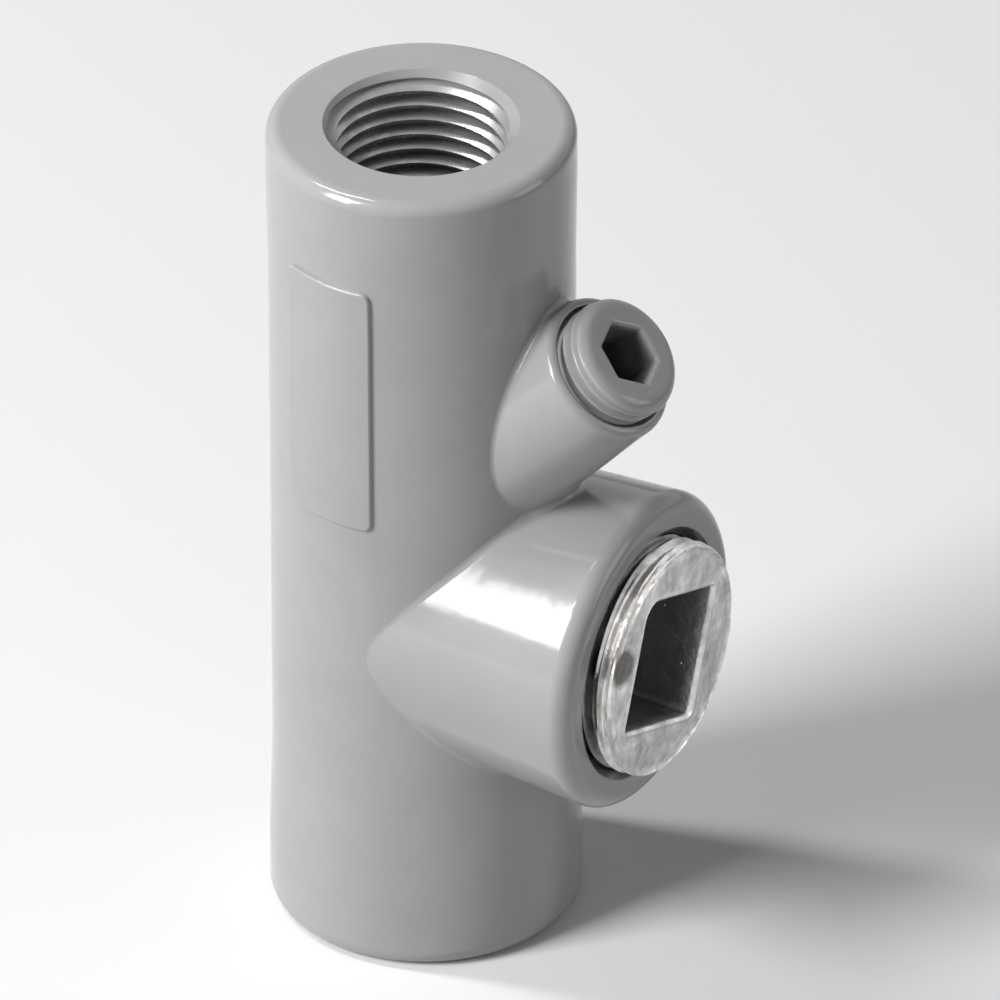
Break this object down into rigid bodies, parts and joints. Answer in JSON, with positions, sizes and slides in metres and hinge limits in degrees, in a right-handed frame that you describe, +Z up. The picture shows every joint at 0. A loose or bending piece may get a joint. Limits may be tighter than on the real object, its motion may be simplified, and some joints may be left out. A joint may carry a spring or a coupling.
{
  "type": "conduit sealing fitting",
  "caption": "Cast conduit sealing fitting: a round barrel with a threaded hub at each end, a wide side boss and a tilted pour boss, each closed by a threaded plug.",
  "frame": {"origin": "centre of the lower hub's end face, on the barrel's axis", "axes": "+Z up the barrel to the upper hub, +X towards both bosses"},
  "size_m": [0.048, 0.0358, 0.0985],
  "materials": {
    "painted_casting": "gloss",
    "bare_plug": "satin",
    "painted_plug": "gloss"
  },
  "bodies": {
    "fitting": {"sealing_body": "painted_casting"},
    "wide_plug": {"packing_plug": "bare_plug"},
    "small_plug": {"pour_plug": "painted_plug"}
  },
  "joints": [
    {"name": "packing_plug_draw", "type": "slide", "parent": "fitting", "child": "wide_plug", "axis": [1, 0, 0], "range_m": [0, 0.02]},
    {"name": "pour_plug_draw", "type": "slide", "parent": "fitting", "child": "small_plug", "axis": [0.7071, 0, 0.7071], "range_m": [0, 0.015]}
  ]
}
